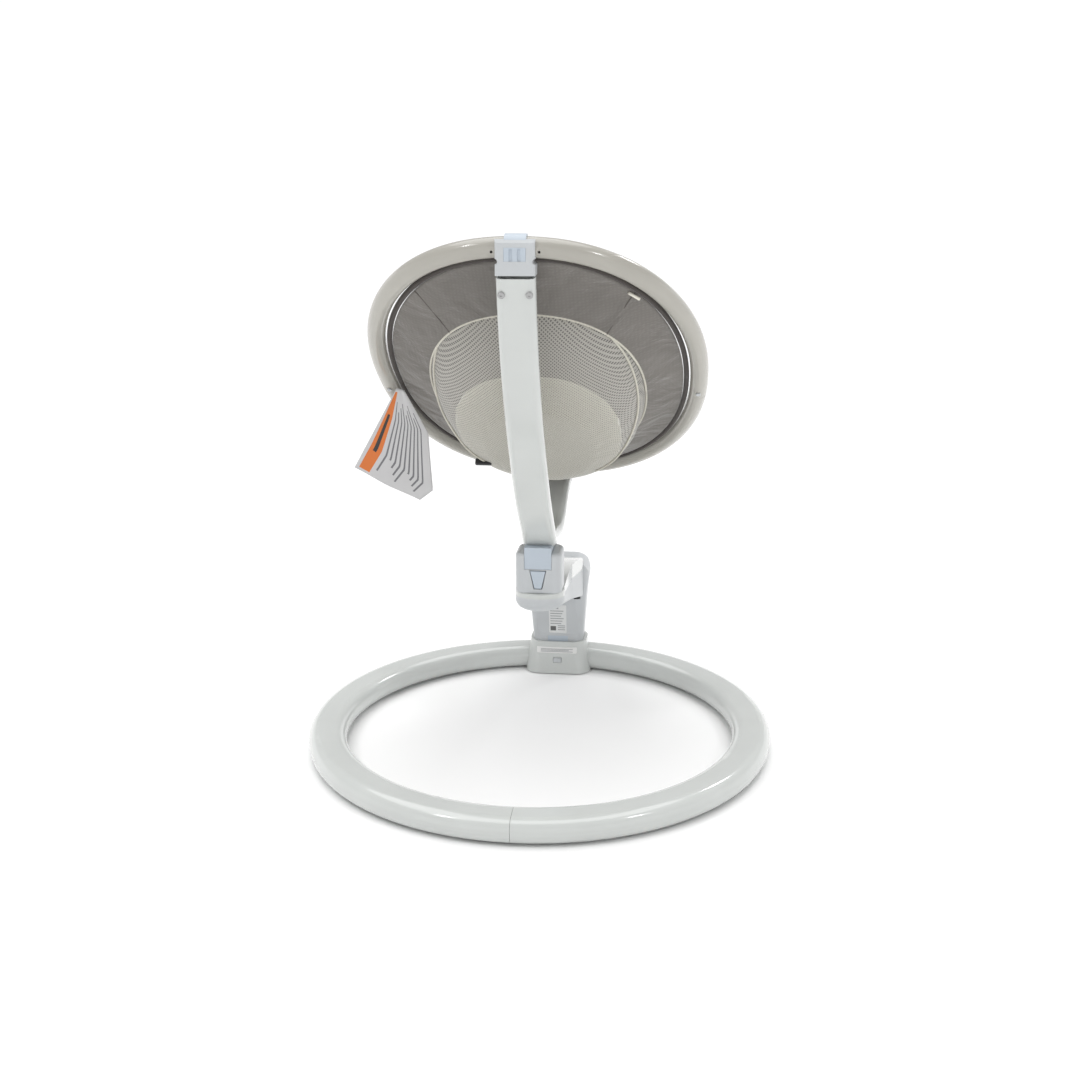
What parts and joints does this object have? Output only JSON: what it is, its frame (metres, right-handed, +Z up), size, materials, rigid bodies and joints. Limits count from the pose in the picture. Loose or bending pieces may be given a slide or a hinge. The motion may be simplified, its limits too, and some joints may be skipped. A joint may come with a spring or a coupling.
{
  "type": "baby swing",
  "caption": "Electric infant swing: round floor ring, motor column, swaying turret on a vertical axis, and a tilted oval hoop seat with a fabric sling and mesh pouch.",
  "frame": {"origin": "on the floor, at the centre of the base ring", "axes": "+Z up, +Y from the head end of the seat towards the motor column, X sideways"},
  "size_m": [0.609, 0.6085, 0.6782],
  "materials": {
    "gloss_white": "glossy cool white moulding",
    "satin_white": "satin white moulding",
    "pale_blue": "pale blue-white moulding",
    "hoop_coat": "warm grey-white gloss coat",
    "black_gloss": "gloss black panel",
    "rubber": "matte grip pads",
    "screw_steel": "plated steel",
    "gear_plastic": "natural acetal",
    "motor_can": "plated steel",
    "board": "green board",
    "sling_fabric": "taupe-grey woven cloth",
    "piping_fabric": "dark brown-grey bound edge",
    "mesh_fabric": "cream open mesh",
    "liner_fabric": "cream lining",
    "strap_fabric": "grey webbing",
    "tag_fabric": "white printed tag, no lettering",
    "label_film": "plain label film, no lettering"
  },
  "bodies": {
    "base": {"base_ring_left": "gloss_white", "base_ring_right": "gloss_white", "ring_joiner": "satin_white", "ring_screws": "screw_steel", "foot_pads": "rubber", "hub_shell": "gloss_white", "hub_base_plate": "satin_white", "hub_screws": "screw_steel", "hub_socket": "satin_white", "hub_button_spring": "screw_steel", "hub_sticker": "label_film"},
    "release_button": {"hub_button": "satin_white"},
    "column": {"column_inner_shell": "satin_white", "column_outer_shell": "satin_white", "column_head_cover": "satin_white", "control_panel": "black_gloss", "column_screws": "screw_steel", "column_spigot": "satin_white", "release_tab": "pale_blue", "usb_port": "black_gloss", "power_jack": "black_gloss", "circuit_board": "board", "speaker": "satin_white", "rating_label": "label_film", "housing_base": "satin_white", "housing_cover": "gloss_white", "lower_bearing": "screw_steel", "upper_bearing": "screw_steel", "gear_plate": "screw_steel", "idler_pins": "screw_steel", "plate_screws": "screw_steel", "motor": "motor_can"},
    "turret": {"turret_shell": "satin_white", "drive_shaft": "screw_steel", "drive_gear": "gear_plastic", "latch_spring": "screw_steel"},
    "idler_one": {"first_idler": "gear_plastic"},
    "idler_two": {"second_idler": "gear_plastic"},
    "pinion": {"motor_pinion": "gear_plastic"},
    "seat_latch": {"latch_button": "pale_blue"},
    "seat": {"rear_arm": "gloss_white", "foot_arm": "gloss_white", "arm_plug": "pale_blue", "arm_screws": "screw_steel", "head_connector": "satin_white", "connector_insert": "pale_blue", "foot_connector": "satin_white", "head_hoop": "hoop_coat", "foot_hoop": "hoop_coat", "hoop_spigots": "satin_white", "snap_pins": "satin_white", "piping": "piping_fabric", "seat_sling": "sling_fabric", "mesh_pouch": "mesh_fabric", "pouch_liner": "liner_fabric", "crotch_strap": "strap_fabric", "waist_straps": "strap_fabric", "buckle": "satin_white", "care_tag": "tag_fabric"}
  },
  "joints": [
    {"name": "release_press", "type": "slide", "parent": "base", "child": "release_button", "axis": [0, 1, 0], "range_m": [0, 0.003], "stiffness_N_per_m": 600},
    {"name": "column_lift", "type": "slide", "parent": "base", "child": "column", "axis": [0, 0, 1], "range_m": [0, 0.045]},
    {"name": "sway", "type": "hinge", "parent": "column", "child": "turret", "pos_m": [0, 0.017, 0.2], "axis": [0, 0, 1], "range_deg": [-18, 18]},
    {"name": "idler_one_turn", "type": "hinge", "parent": "column", "child": "idler_one", "pos_m": [0, 0.055, 0.19], "axis": [0, 0, 1], "range_deg": [-20.5, 20.5]},
    {"name": "idler_two_turn", "type": "hinge", "parent": "column", "child": "idler_two", "pos_m": [0, 0.091, 0.19], "axis": [0, 0, 1], "range_deg": [-20.5, 20.5]},
    {"name": "pinion_turn", "type": "hinge", "parent": "column", "child": "pinion", "pos_m": [0, 0.115, 0.19], "axis": [0, 0, 1], "range_deg": [-61, 61]},
    {"name": "seat_latch_press", "type": "slide", "parent": "turret", "child": "seat_latch", "axis": [0, 1, 0], "range_m": [0, 0.0022], "stiffness_N_per_m": 600},
    {"name": "seat_lift", "type": "slide", "parent": "turret", "child": "seat", "axis": [0, 0, 1], "range_m": [0, 0.05]}
  ],
  "couplings": [
    {"joint": "idler_one_turn", "follows": "sway", "ratio": -1.1111},
    {"joint": "idler_two_turn", "follows": "sway", "ratio": 1.1111},
    {"joint": "pinion_turn", "follows": "sway", "ratio": -3.3333}
  ]
}
